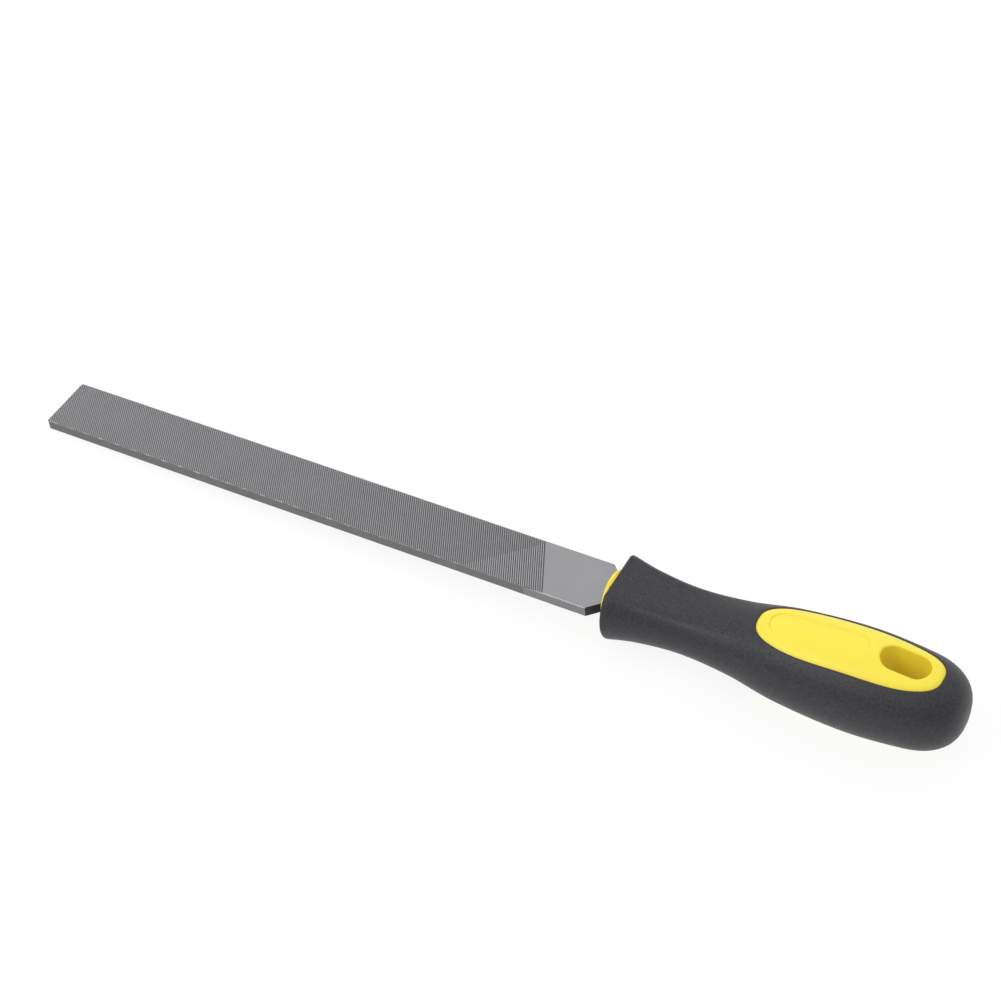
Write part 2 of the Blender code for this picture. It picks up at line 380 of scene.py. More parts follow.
def lattice(low, high, first, first_count, second, second_count):
    """A flat mesh of quads with a vertex wherever a line of one family meets a line of the other.

    A family is (direction it steps in, pitch, crest); each pitch has a groove line and its crest's lines.
    """
    families = []
    for (turn_deg, pitch, crest), (from_line, to_line) in ((first, first_count), (second, second_count)):
        shares = sorted({0.0, *crest})
        lines = [k + share for k in range(from_line, to_line) for share in shares]
        families.append((stepping(turn_deg), pitch * np.array(lines)))
    (normal_a, offsets_a), (normal_b, offsets_b) = families
    a, b = np.meshgrid(offsets_a, offsets_b, indexing="ij")
    places = np.stack([a, b], axis=-1) @ np.linalg.inv(np.stack([normal_a, normal_b])).T
    index = np.arange(a.size).reshape(a.shape)
    quads = np.stack([index[:-1, :-1], index[1:, :-1], index[1:, 1:], index[:-1, 1:]], axis=-1).reshape(-1, 4)
    places = places.reshape(-1, 2)
    middle, margin = places[quads].mean(axis=1), 1.5 * max(first[1], second[1])
    quads = quads[((middle > low - margin) & (middle < high + margin)).all(axis=1)]
    used, quads = np.unique(quads, return_inverse=True)
    return places[used], quads.reshape(-1, 4)


def lines_needed(low, high, turn_deg, pitch):
    """The first and last row numbers that cover the rectangle from low to high."""
    corners = [(x, y) for x in (low[0], high[0]) for y in (low[1], high[1])]
    reach = [np.dot(stepping(turn_deg), corner) / pitch for corner in corners]
    return math.floor(min(reach)) - 2, math.ceil(max(reach)) + 3


def clipped_sheet(low, high, first, second, end_turn, end):
    """A lattice cut off at its sides, at the tip and at its last groove line."""
    low, high = np.array(low), np.array(high)
    counts = [lines_needed(low, high, family[0], family[1]) for family in (first, second)]
    places, quads = lattice(low, high, first, counts[0], second, counts[1])
    mesh = bpy.data.meshes.new("sheet")
    mesh.from_pydata([(x, y, 0.0) for x, y in places], [], quads.tolist())
    bm = bmesh.new()
    bm.from_mesh(mesh)
    bpy.data.meshes.remove(mesh)
    end_normal = stepping(end_turn)
    planes = [
        ((low[0], 0), (-1, 0)),
        ((0, low[1]), (0, -1)),
        ((0, high[1]), (0, 1)),
        (end_normal * end, end_normal),
    ]
    for point, outwards in planes:
        bmesh.ops.bisect_plane(
            bm,
            geom=bm.verts[:] + bm.edges[:] + bm.faces[:],
            dist=NEAR,
            plane_co=(*point, 0.0),
            plane_no=(*outwards, 0.0),
            clear_outer=True,
        )
    return bm


def working_face():
    """One cut face, with x and y in place and z as a height over the face."""
    up = (UPCUT_TURN, UPCUT_PITCH, CREST)
    over = (OVERCUT_TURN, OVERCUT_PITCH, NOTCH)
    side = BLADE_HALF_WIDTH - EDGE_BREAK
    last_crest = (math.floor(UPCUT_END / UPCUT_PITCH) + CREST[0]) * UPCUT_PITCH
    bm = clipped_sheet((TIP_CORNER - BLADE_LENGTH, -side), (0.0, side), up, over, UPCUT_TURN, last_crest)
    # Each vertex's crest value, 1 on a tooth's crest and 0 in its groove, sets how much painted highlight the
    # steel shows there.
    crest = bm.verts.layers.float.new("crest")
    for vertex in bm.verts:
        place = np.array(vertex.co.xy)
        up_reach, over_reach = place @ stepping(UPCUT_TURN), place @ stepping(OVERCUT_TURN)
        groove = wave(up_reach / UPCUT_PITCH, CREST)
        notch = wave(over_reach / OVERCUT_PITCH, NOTCH) * (over_reach < OVERCUT_END)
        if up_reach >= last_crest - NEAR:
            groove = notch = 0.0
        drop = UPCUT_DEPTH * groove + OVERCUT_DEPTH * notch * (1 - 0.5 * groove)
        vertex.co.z = half_thickness(vertex.co.x) - drop
        vertex[crest] = (1 - groove) * (1 - 0.25 * notch)
    return bm


def narrow_edge():
    """One cut narrow edge: x in place, y across the thickness, z from the file's middle plane."""
    rows = (EDGE_CUT_TURN, EDGE_CUT_PITCH, NOTCH)
    across = (90.0, 1.2 * MM, NOTCH)  # not teeth: lines along the edge, to keep its faces short
    side = HEEL_HALF_THICKNESS - EDGE_BREAK
    bm = clipped_sheet((TIP_CORNER - BLADE_LENGTH, -side), (0.0, side), rows, across, 0.0, EDGE_CUT_END)
    for vertex in bm.verts:
        reach = np.array(vertex.co.xy) @ stepping(EDGE_CUT_TURN)
        depth = EDGE_CUT_DEPTH * wave(reach / EDGE_CUT_PITCH, NOTCH) * (vertex.co.x < EDGE_CUT_END - NEAR)
        vertex.co.z = BLADE_HALF_WIDTH - depth
    return bm


def thickened(place):
    """A narrow edge's point (x, y, z), its y stretched to the blade's thickness there."""
    return Vector((place.x, place.y * half_thickness(place.x) / HEEL_HALF_THICKNESS, place.z))


def zip_strip(bm, first, second):
    """Triangles between two lines of vertices that both run along +X: the blade's broken edge.

    Beside the teeth it takes the lighter ground steel, a painted highlight line; along the heel it takes the
    heel's darker edge steel, painted shade.
    """
    i = j = 0
    while i < len(first) - 1 or j < len(second) - 1:
        first_next = j == len(second) - 1 or (
            i < len(first) - 1 and first[i + 1].co.x <= second[j + 1].co.x
        )
        if first_next:
            face = bm.faces.new((first[i], first[i + 1], second[j]))
            i += 1
        else:
            face = bm.faces.new((first[i], second[j + 1], second[j]))
            j += 1
        # Lighter ground steel beside the teeth paints a highlight line along the edge; the heel part takes
        # the darker edge steel, painted shade.
        face.material_index = GROUND if face.verts[0].co.x < EDGE_CUT_END else HEEL_EDGE_SHADE


def add_sheet(bm, sheet, matrix, material_index):
    """Copies a sheet into bm and returns its new vertices and their places on the flat sheet."""
    crest, sheet_crest = bm.verts.layers.float["crest"], sheet.verts.layers.float.get("crest")
    sheet.verts.index_update()
    stretch = thickened if material_index == CUT_EDGE else Vector
    made = [bm.verts.new(matrix @ stretch(v.co)) for v in sheet.verts]
    if sheet_crest:
        for new, old in zip(made, sheet.verts):
            new[crest] = old[sheet_crest]
    for face in sheet.faces:
        bm.faces.new([made[v.index] for v in face.verts]).material_index = material_index
    return made, [tuple(v.co.xy) for v in sheet.verts]


def blade_bmesh():
    """The whole blade as one closed mesh, its faces marked with their materials."""
    bm = bmesh.new()
    bm.verts.layers.float.new("crest")
    shoulder = {}
    tip = TIP_CORNER - BLADE_LENGTH
    side, thick = BLADE_HALF_WIDTH - EDGE_BREAK, HEEL_HALF_THICKNESS - EDGE_BREAK
    half_turn = Matrix.Rotation(math.pi, 4, "X")
    quarter = Matrix.Rotation(-math.pi / 2, 4, "X")
    layout = (
        # name, what makes its sheet, its turn into place, the sheet's half width, its height at the shoulder
        ("top", working_face, Matrix.Identity(4), side, HEEL_HALF_THICKNESS),
        ("far", narrow_edge, quarter, thick, BLADE_HALF_WIDTH),
        ("bottom", working_face, half_turn, side, HEEL_HALF_THICKNESS),
        ("near", narrow_edge, quarter @ half_turn, thick, BLADE_HALF_WIDTH),
    )
    borders = {}
    for name, make_sheet, matrix, half, level in layout:
        sheet = make_sheet()
        is_working_face = make_sheet is working_face
        made, flat = add_sheet(bm, sheet, matrix, CUT if is_working_face else CUT_EDGE)
        sheet.free()
        ends = [bm.verts.new(matrix @ Vector((0.0, s * half, level))) for s in (-1, 1)]
        on_side = {}
        for s in (-1, 1):
            line = [v for v, (x, y) in zip(made, flat) if abs(y - s * half) < NEAR]
            on_side[s] = sorted(line, key=lambda v: v.co.x) + [ends[(s + 1) // 2]]
        border = [(y, v) for v, (x, y) in zip(made, flat) if v.is_boundary and x > tip + NEAR]
        border = [item for item in border if abs(item[0]) < half - NEAR]
        last = [v for _, v in sorted(border, key=lambda item: item[0])]
        heel = [on_side[-1][-2], *last, on_side[1][-2], ends[1], ends[0]]
        # The heel's narrow edges take the darker copy of the ground steel, painted shade.
        bm.faces.new(heel).material_index = GROUND if is_working_face else HEEL_EDGE_SHADE
        borders[name], shoulder[name] = on_side, ends
    # Going round from the top over the far edge, each sheet's +1 side meets its neighbour's -1 side.
    names = [name for name, *_ in layout]
    for one, other in zip(names, names[1:] + names[:1]):
        zip_strip(bm, borders[one][1], borders[other][-1])

    close_tip(bm, tip)
    add_tang(bm, [vertex for name in names for vertex in shoulder[name]])
    return bm


def close_tip(bm, tip):
    """The tip's rounded corners and its plain end."""
    crest = bm.verts.layers.float["crest"]
    before = set(bm.faces)
    edges = [e for e in bm.edges if e.is_boundary and all(abs(v.co.x - tip) < 1e-6 for v in e.verts)]
    inset = 0.0
    for step in range(1, TIP_STEPS + 1):
        angle = math.pi / 2 * step / TIP_STEPS
        further = 1 - math.cos(angle) - inset
        inset += further
        made = bmesh.ops.extrude_edge_only(bm, edges=edges)["geom"]
        edges = [item for item in made if isinstance(item, bmesh.types.BMEdge) and item.is_boundary]
        for vertex in {v for e in edges for v in e.verts}:
            vertex.co.y *= 1 - further * TIP_CORNER / BLADE_HALF_WIDTH
            vertex.co.z *= 1 - further * EDGE_BREAK / HEEL_HALF_THICKNESS
            vertex.co.x = tip - TIP_CORNER * math.sin(angle)
            vertex[crest] = 0.0
    bmesh.ops.edgeloop_fill(bm, edges=edges)
    for face in set(bm.faces) - before:
        face.material_index = CUT_EDGE


def add_tang(bm, ring):
    """The 45 degree shoulders and the tapering tang, on from the ring of eight shoulder points."""
    root_x = BLADE_HALF_WIDTH - TANG_ROOT_HALF_WIDTH
    stations = (
        (root_x, TANG_ROOT_HALF_WIDTH, HEEL_HALF_THICKNESS),
        (TANG_LENGTH, *TANG_POINT_HALF),
    )
    rings = [ring]
    for x, half_width, half_height in stations:
        points = []
        for vertex in ring:
            y_edge = BLADE_HALF_WIDTH - abs(vertex.co.y)
            z_edge = HEEL_HALF_THICKNESS - abs(vertex.co.z)
            y = math.copysign(half_width - y_edge, vertex.co.y)
            z = math.copysign(half_height - z_edge, vertex.co.z)
            points.append((x, y, z))
        rings.append(add_ring(bm, points))
    before = set(bm.faces)
    bridge_rings(bm, rings)
    bm.faces.new(rings[-1])
    for face in set(bm.faces) - before:
        face.normal_update()
        # The shoulders and the tang's sides take the nearly black forged steel: forged scale, and painted
        # shade on the shoulders.
        face.material_index = GROUND if abs(face.normal.z) > 0.9 else FORGED_SHADE


# ----------------------------------------------------------------------------------------------------- sleeve


def window_chart(grow, below):
    """The window's outline, grown, as (along, turn) on the skin above or below."""
    outline = superellipse(grow)
    along = along_at(outline[:, 0])
    radius = np.interp(along, MERIDIAN_ALONG, MERIDIAN_RADIUS)
    turn = np.arccos(outline[:, 1] / radius)
    return along, (math.tau - turn if below else turn)


def sleeve_chart():
    """The sleeve's skin, cut open along its +Y side, with points that follow its edges and ridges."""
    sheet = Sheet()
    start, end = along_at(SLEEVE_FRONT + FRONT_WALL), along_at(BUTT_END - BUTT_CAP)
    turns = np.linspace(0.0, math.tau, 97)
    lengths = np.linspace(start, end, round((end - start) / SKIN_STEP) + 1)
    scale = CHART_RADIUS
    sheet.line([(start, t * scale) for t in turns])
    sheet.line([(end, t * scale) for t in turns])
    for turn in (0.0, math.tau):
        sheet.line([(a, turn * scale) for a in lengths[1:-1]])
    ridge_end = along_at(FLAT_FADE[1])
    ridges = (RIDGE_ANGLE, math.pi - RIDGE_ANGLE, math.pi + RIDGE_ANGLE, math.tau - RIDGE_ANGLE)
    places = np.arange(start + 0.6 * MM, ridge_end, RIDGE_STEP)
    for ridge in ridges:
        for aside in (-0.07, -0.035, 0.0, 0.035, 0.07):
            sheet.line([(a, (ridge + aside) * scale) for a in places])
    for below in (False, True):
        for grow in (0.0, 0.07, 0.15, 0.27, 0.45, 0.7, 1.2):
            along, turn = window_chart(SEAM + grow * MM, below)
            sheet.line(np.stack([along, turn * scale], axis=-1), closed=True)
    filler = hex_grid((start, 0.0), (end, math.tau * scale), SKIN_STEP)
    along, turn = filler[:, 0], filler[:, 1] / scale
    x = np.interp(along, MERIDIAN_ALONG, MERIDIAN_X)
    radius = np.interp(along, MERIDIAN_ALONG, MERIDIAN_RADIUS)
    keep = beyond_window(x, radius * np.cos(turn)) > 1.2 * MM + SKIN_STEP * 0.6
    keep &= (along > start + 0.5 * MM) & (along < end - 0.5 * MM)
    for ridge in ridges:
        keep &= (np.abs(turn - ridge) > 0.12) | (along > ridge_end + 0.6 * MM)
    sheet.scatter(filler[keep])
    return sheet.triangulate()


def sleeve_bmesh():
    """The sleeve as one closed shell: outer and inner skin, the windows' edges, the butt and the front."""
    chart, faces = sleeve_chart()
    along, turn = chart[:, 0], chart[:, 1] / CHART_RADIUS
    x = np.interp(along, MERIDIAN_ALONG, MERIDIAN_X)
    radius = np.interp(along, MERIDIAN_ALONG, MERIDIAN_RADIUS)
    beyond = beyond_window(x, radius * np.cos(turn)) - SEAM
    middle = chart[faces].mean(axis=1)
    middle_x = np.interp(middle[:, 0], MERIDIAN_ALONG, MERIDIAN_X)
    middle_y = np.interp(middle[:, 0], MERIDIAN_ALONG, MERIDIAN_RADIUS) * np.cos(middle[:, 1] / CHART_RADIUS)
    faces = faces[beyond_window(middle_x, middle_y) > SEAM]
    outer = skin(along, turn, rolled(beyond, LIP))
    inner = skin(along, turn, np.full_like(along, WALL - SEAM))

    bm = bmesh.new()
    for points in (outer, inner):
        verts = add_ring(bm, points)
        for face in faces:
            bm.faces.new([verts[i] for i in face])
    bmesh.ops.delete(bm, geom=[v for v in bm.verts if not v.link_faces], context="VERTS")
    bmesh.ops.remove_doubles(bm, verts=bm.verts, dist=1e-6)
    loops = border_loops(bm)
    windows = [loop for loop in loops if is_window_loop(loop)]
    front = [loop for loop in loops if all(v.co.x < SLEEVE_FRONT + FRONT_WALL + 0.5 * MM for v in loop)]
    butt = [loop for loop in loops if all(v.co.x > BUTT_END - 7 * MM for v in loop) and loop not in windows]
    for below in (False, True):
        pair = [loop for loop in windows if (mean_z(loop) < 0) == below]
        pair.sort(key=lambda loop: -abs(mean_z(loop)))
        bridge_rings(bm, match_loops(*pair))
    for loop in butt:
        close_butt(bm, loop)
    front.sort(key=lambda loop: -loop_reach(loop))
    close_front(bm, *front)
    return bm


def mean_z(loop):
    return sum(v.co.z for v in loop) / len(loop)


def loop_reach(loop):
    return max(math.hypot(v.co.y, v.co.z) for v in loop)


def is_window_loop(loop):
    """The other loops go round the axis, so their middle is on it."""
    return abs(mean_z(loop)) > 3 * MM


def match_loops(first, second, axes="xyz"):
    """The two loops with the second turned round to run beside the first, as seen along these axes."""

    def apart(one, other):
        return (getattr(one.co, axes) - getattr(other.co, axes)).length

    start = min(range(len(second)), key=lambda i: apart(second[i], first[0]))
    ahead = [second[(start + i) % len(second)] for i in range(len(second))]
    backwards = [second[(start - i) % len(second)] for i in range(len(second))]
    quarter = len(first) // 4
    nearer = min((ahead, backwards), key=lambda order: apart(order[quarter], first[quarter]))
    return [first, nearer]


def turn_of(vertex):
    """A vertex's turn about the axis from +Y."""
    return math.atan2(vertex.co.z, vertex.co.y) % math.tau


def close_butt(bm, loop):
    """Rings that shrink to a point in the middle of the butt, on the outer or the inner skin."""
    outer = max(v.co.x for v in loop) > BUTT_END - WALL + 0.2 * MM
    start, last = along_at(BUTT_END - BUTT_CAP), MERIDIAN_ALONG[-1]
    depth = 0.0 if outer else WALL - SEAM
    rings = [loop]
    turns = np.array([turn_of(v) for v in loop])
    for share in (0.2, 0.4, 0.6, 0.78, 0.92):
        along = start + (last - start) * share
        rings.append(add_ring(bm, skin(np.full_like(turns, along), turns, np.full_like(turns, depth))))
    bridge_rings(bm, rings)
    pole = bm.verts.new((BUTT_END - SKIN_INSET - depth, 0.0, 0.0))
    for i in range(len(turns)):
        bm.faces.new((rings[-1][i], rings[-1][(i + 1) % len(turns)], pole))


def close_front(bm, outer, inner):
    """The rounded front edge, the front face, the collar's opening and the inside of the front wall."""
    outer, inner = match_loops(outer, inner)
    turns = np.array([turn_of(v) for v in outer])
    # On a flat, a point's turn on the chart isn't its turn about the axis, so the rings take the chart's.
    chart_turns = np.array([chart_turn(v) for v in outer])
    rings = [outer]
    for x in (SLEEVE_FRONT + 1.9 * MM, SLEEVE_FRONT + 1.3 * MM):
        rings.append(add_ring(bm, skin(np.full_like(turns, along_at(x)), chart_turns, np.zeros_like(turns))))
    for angle in np.linspace(0.0, math.pi / 2, 6):
        x = SLEEVE_FRONT + FRONT_ROUND * (1 - math.sin(angle))
        depth = FRONT_ROUND * (1 - math.cos(angle))
        ring = skin(np.full_like(turns, along_at(x)), chart_turns, np.full_like(turns, depth))
        ring[:, 0] = x
        rings.append(add_ring(bm, ring))
    hub, lip = COLLAR_RADIUS + SEAM, 0.3 * MM
    inner_x = SLEEVE_FRONT + FRONT_WALL - SEAM
    circles = (
        (SLEEVE_FRONT, hub + lip),
        (SLEEVE_FRONT + 0.3 * lip, hub + 0.3 * lip),
        (SLEEVE_FRONT + lip, hub),
        (inner_x, hub),
    )
    for x, radius in circles:
        rings.append(add_ring(bm, [(x, radius * math.cos(t), radius * math.sin(t)) for t in turns]))
    rings.append(inner)
    bridge_rings(bm, rings)


def chart_turn(vertex):
    """The chart's turn of a point on the skin, from its y."""
    radius = float(handle_radius(np.array(vertex.co.x)))
    turn = math.acos(min(max(vertex.co.y / radius, -1.0), 1.0))
    return turn if vertex.co.z >= 0 else math.tau - turn


# ------------------------------------------------------------------------------------------------------- core


def patch_height(x, y):
    """The core's face in the window: the handle's form, less the rim's fall, the recess and the lip."""
    rim = RIM_DROP * np.clip(1 + beyond_window(x, y) / RIM_WIDTH, 0.0, 1.0) ** 2
    recess = beyond_capsule(x, y, RECESS_ENDS, RECESS_RADIUS)
    floor = RECESS_DEPTH * (1 - smoothstep((recess + RECESS_SOFTNESS) / (2 * RECESS_SOFTNESS)))
    hole = rolled(beyond_capsule(x, y, HOLE_ENDS, HOLE_RADIUS), HOLE_LIP)
    return height_over(x, y) - rim - floor - hole


def window_patch():
    """The window's face in plan, triangulated, with lines where its rim, recess and hole curve."""
    sheet = Sheet()
    for inset in (0.0, 0.2, 0.45, 0.7, 0.95, 1.25, 1.6, 2.0):
        sheet.line(superellipse(-inset * MM), closed=True)
    for offset in (-0.85, -0.76, -0.66, -0.54, -0.42, -0.3, -0.18, -0.06, 0.0, 0.1):
        sheet.line(capsule(RECESS_ENDS, RECESS_RADIUS + offset * MM, 160), closed=True)
    for offset in (0.0, 0.03, 0.09, 0.18, 0.3, 0.45, 0.6, 0.7, 0.95):
        sheet.line(capsule(HOLE_ENDS, HOLE_RADIUS + offset * MM, 112), closed=True)
    reach = np.array([WINDOW_HALF_LENGTH, WINDOW_HALF_WIDTH])
    grid = hex_grid((WINDOW_CENTRE - reach[0], -reach[1]), (WINDOW_CENTRE + reach[0], reach[1]), PATCH_STEP)
    x, y = grid.T
    recess = np.abs(beyond_capsule(x, y, RECESS_ENDS, RECESS_RADIUS))
    hole = beyond_capsule(x, y, HOLE_ENDS, HOLE_RADIUS)
    keep = (beyond_window(x, y) < -2.2 * MM) & (recess > 1.0 * MM) & (hole > 1.6 * MM)
    sheet.scatter(grid[keep])
    places, faces = sheet.triangulate()
    middle = places[faces].mean(axis=1)
    inside = beyond_window(*middle.T) < 0.02 * MM
    inside &= beyond_capsule(*middle.T, HOLE_ENDS, HOLE_RADIUS) > -0.02 * MM
    return places, faces[inside]


def window_slug():
    """The part of the core that shows: both window faces and the hole through them, with a neck between."""
    places, faces = window_patch()
    x, y = places.T
    z = patch_height(x, y)
    bm = bmesh.new()
    for side in (1, -1):
        verts = add_ring(bm, zip(x, y, side * z))
        for face in faces:
            bm.faces.new([verts[i] for i in face])
    bmesh.ops.delete(bm, geom=[v for v in bm.verts if not v.link_faces], context="VERTS")
    loops = border_loops(bm)
    rims = sorted((loop for loop in loops if loop_span(loop) > WINDOW_HALF_LENGTH), key=mean_z)
    holes = sorted((loop for loop in loops if loop_span(loop) <= WINDOW_HALF_LENGTH), key=mean_z)

    low, high = match_loops(*holes, axes="xy")
    rings = [low]
    for share in np.linspace(0.0, 1.0, 22)[1:-1]:
        rings.append(add_ring(bm, [a.co.lerp(b.co, share) for a, b in zip(low, high)]))
    bridge_rings(bm, rings + [high])

    low, high = match_loops(*rims, axes="xy")
    necks = []
    for loop in (low, high):
        turns = np.array([chart_turn(v) for v in loop])
        along = np.array([float(along_at(v.co.x)) for v in loop])
        for depth in (1.6 * MM, WALL + 0.5 * MM):
            necks.append(add_ring(bm, skin(along, turns, np.full_like(along, depth))))
    bridge_rings(bm, [low, necks[0], necks[1], necks[3], necks[2], high])
    return bm


def loop_span(loop):
    """How far a loop reaches along the file."""
    return max(v.co.x for v in loop) - min(v.co.x for v in loop)


def lofted(sections):
    """A closed body through rings of points, with a flat face at each end."""
    bm = bmesh.new()
    rings = [add_ring(bm, section) for section in sections]
    bridge_rings(bm, rings)
    for ring in (rings[0], rings[-1]):
        bm.faces.new(ring)
    return bm


def inner_form(start, depth, turns=72, steps=56):
    """The handle's form moved inwards, from a flat face at start to the butt."""
    angles = math.tau * np.arange(turns) / turns
    lengths = np.linspace(along_at(start), MERIDIAN_ALONG[-1] - 0.6 * MM, steps)
    sections = []
    for along in lengths:
        sections.append(skin(np.full_like(angles, along), angles, np.full_like(angles, depth)))
    return lofted(sections)


def prism(outline, half_height):
    """An outline in plan as a solid, as far above the axis as below."""
    return lofted([[(x, y, z) for x, y in outline] for z in (-half_height, half_height)])


def turned(stations, steps=96):
    """A solid turned about the axis, through (x, radius) stations."""
    turns = math.tau * (np.arange(steps) + 0.5) / steps
    return lofted([[(x, r * math.cos(t), r * math.sin(t)) for t in turns] for x, r in stations])


def collar_stations():
    """The nose in front of the sleeve: a rounded front edge, and a fine groove about half way along it."""
    stations = []
    for angle in np.linspace(0.0, math.pi / 2, 7):
        x = COLLAR_FRONT + COLLAR_ROUND * (1 - math.cos(angle))
        stations.append((x, COLLAR_RADIUS - COLLAR_ROUND * (1 - math.sin(angle))))
    groove, width, depth = 5.35 * MM, 0.16 * MM, 0.14 * MM
    return [
        *stations,
        (groove - width, COLLAR_RADIUS),
        (groove, COLLAR_RADIUS - depth),
        (groove + width, COLLAR_RADIUS),
        (SLEEVE_FRONT + FRONT_WALL + 1 * MM, COLLAR_RADIUS),
    ]


def tang_socket():
    """The mouth that takes the 45 degree shoulders, and the tapering socket behind it."""
    gap, mouth = 0.25 * MM, COLLAR_FRONT - 1 * MM
    stations = (
        (mouth, BLADE_HALF_WIDTH - mouth + gap, HEEL_HALF_THICKNESS + gap),
        (BLADE_HALF_WIDTH - TANG_ROOT_HALF_WIDTH, TANG_ROOT_HALF_WIDTH + gap, HEEL_HALF_THICKNESS + gap),
        (TANG_LENGTH + gap, TANG_POINT_HALF[0] + gap, TANG_POINT_HALF[1] + gap),
    )
    return lofted([[(x, y, z), (x, -y, z), (x, -y, -z), (x, y, -z)] for x, y, z in stations])


def core_bmesh():
    """The inner body, opened through both windows for the part that shows, with its collar and socket."""
    body = inner_form(SLEEVE_FRONT + FRONT_WALL, WALL)
    opening_inset, past_skin = 3.0 * MM, 20 * MM
    steps = [
        ("DIFFERENCE", prism(superellipse(-opening_inset, 96), past_skin)),
        ("UNION", window_slug()),
        ("UNION", turned(collar_stations())),
        ("DIFFERENCE", tang_socket()),
    ]
    return combine(body, steps)


# -------------------------------------------------------------------------------------------------- materials


class Nodes:
    """A material's node tree, with short ways to add and join nodes."""

    def __init__(self, name):
        self.material = bpy.data.materials.new(name)
        self.material.use_nodes = True
        self.tree = self.material.node_tree
        self.shader = self.tree.nodes["Principled BSDF"]
        self.place = self.add("ShaderNodeTexCoord").outputs["Object"]

    def add(self, kind, **settings):
        """A new node, with its settings."""
        node = self.tree.nodes.new(kind)
        for name, value in settings.items():
            setattr(node, name, value)
        return node

    def link(self, output, socket):
        self.tree.links.new(output, socket)

    def drive(self, **outputs):
        """Joins nodes' outputs to the shader's sockets."""
        for name, output in outputs.items():
            self.link(output, self.shader.inputs[name.replace("_", " ")])

    def noise(self, scale, detail=3.0, stretch=(1.0, 1.0, 1.0)):
        """Noise with a scale in features a metre."""
        mapping = self.add("ShaderNodeMapping")
        mapping.inputs["Scale"].default_value = stretch
        self.link(self.place, mapping.inputs["Vector"])
        noise = self.add("ShaderNodeTexNoise")
        noise.inputs["Scale"].default_value = scale
        noise.inputs["Detail"].default_value = detail
        self.link(mapping.outputs["Vector"], noise.inputs["Vector"])
        return noise.outputs["Fac"]

    def spread(self, value, low, high, start=0.3, stop=0.7):
        """value, stretched from start..stop to low..high."""
        node = self.add("ShaderNodeMapRange")
        for name, number in zip(("From Min", "From Max", "To Min", "To Max"), (start, stop, low, high)):
            node.inputs[name].default_value = number
        self.link(value, node.inputs["Value"])
        return node.outputs["Result"]

    def between(self, factor, first, second):
        """A colour between two, by factor. The first may be another node's output."""
        mix = self.add("ShaderNodeMix", data_type="RGBA")
        first_socket, second_socket = (s for s in mix.inputs if s.type == "RGBA")
        if isinstance(first, tuple):
            first_socket.default_value = (*first, 1.0)
        else:
            self.link(first, first_socket)
        second_socket.default_value = (*second, 1.0)
        self.link(factor, mix.inputs["Factor"])
        return next(s for s in mix.outputs if s.type == "RGBA")

    def bump(self, height, distance, strength, under=None):
        """A normal with bumps this far high, over the normal under it, if there is one."""
        node = self.add("ShaderNodeBump")
        node.inputs["Distance"].default_value = distance
        node.inputs["Strength"].default_value = strength
        self.link(height, node.inputs["Height"])
        if under is not None:
            self.link(under, node.inputs["Normal"])
        return node.outputs["Normal"]

    def set(self, **values):
        """Numbers and colours on the shader's own sockets."""
        for name, value in values.items():
            self.shader.inputs[name.replace("_", " ")].default_value = value


def cut_steel():
    """Hardened steel: dull on the flanks of the teeth, with a painted highlight along their crests."""
    nodes = Nodes("cut_steel")
    nodes.set(Metallic=1.0)
    flank = nodes.between(nodes.noise(90.0, 4.0), (0.172, 0.167, 0.175), (0.217, 0.211, 0.218))
    # The crests take a much paler tone than the flanks: a painted highlight, the glint along each row of
    # teeth.
    crest = nodes.add("ShaderNodeAttribute", attribute_name="crest").outputs["Fac"]
    tone = nodes.between(nodes.spread(crest, 0.0, 1.0, 0.55, 1.0), flank, (0.52, 0.51, 0.53))
    nodes.drive(
        Base_Color=tone,
        Roughness=nodes.spread(nodes.noise(2500.0), 0.36, 0.52),
        Normal=nodes.bump(nodes.noise(6000.0, 2.0), 0.02 * MM, 0.5),
    )
    return nodes.material


def plain_steel(name, dark, light, roughness, tint=(0.985, 0.965, 1.0)):
    """Steel without teeth, ground across, with fine parallel scratches. dark and light are its two tones."""
    nodes = Nodes(name)
    nodes.set(Metallic=1.0)
    grain = nodes.noise(3000.0, 3.0, stretch=(1.0, 0.04, 1.0))
    cloud = nodes.noise(120.0, 4.0)
    tones = [tuple(tone * part for part in tint) for tone in (dark, light)]
    nodes.drive(
        Base_Color=nodes.between(cloud, *tones),
        Roughness=nodes.spread(grain, *roughness),
        Normal=nodes.bump(grain, 0.01 * MM, 0.5),
    )
    return nodes.material


def yellow_plastic():
    """Moulded plastic with a satin face and faint flow clouds."""
    nodes = Nodes("yellow_plastic")
    nodes.set(Subsurface_Weight=0.06, Subsurface_Scale=0.8 * MM, IOR=1.49)
    nodes.shader.inputs["Subsurface Radius"].default_value = (1.0, 0.7, 0.1)
    cloud = nodes.noise(60.0, 3.0)
    nodes.drive(
        Base_Color=nodes.between(cloud, (0.86, 0.71, 0.045), (0.90, 0.745, 0.055)),
        Roughness=nodes.spread(nodes.noise(1500.0), 0.34, 0.46),
        Normal=nodes.bump(nodes.noise(2600.0, 2.0), 0.02 * MM, 0.3),
    )
    return nodes.material


def dark_rubber():
    """Soft-touch elastomer: nearly black, matte, with the fine grain of its mould."""
    nodes = Nodes("dark_rubber")
    nodes.set(IOR=1.45)
    speckle = nodes.spread(nodes.noise(1500.0, 2.0), 0.0, 1.0, 0.35, 0.65)
    grain = nodes.bump(nodes.noise(1900.0, 2.0), 0.06 * MM, 0.8)
    nodes.drive(
        Base_Color=nodes.between(speckle, (0.014, 0.014, 0.018), (0.030, 0.030, 0.037)),
        Roughness=nodes.spread(nodes.noise(1800.0), 0.42, 0.54),
        Normal=nodes.bump(nodes.noise(420.0, 2.0), 0.05 * MM, 0.4, under=grain),
    )
    return nodes.material


# ------------------------------------------------------------------------------------------------------ stage


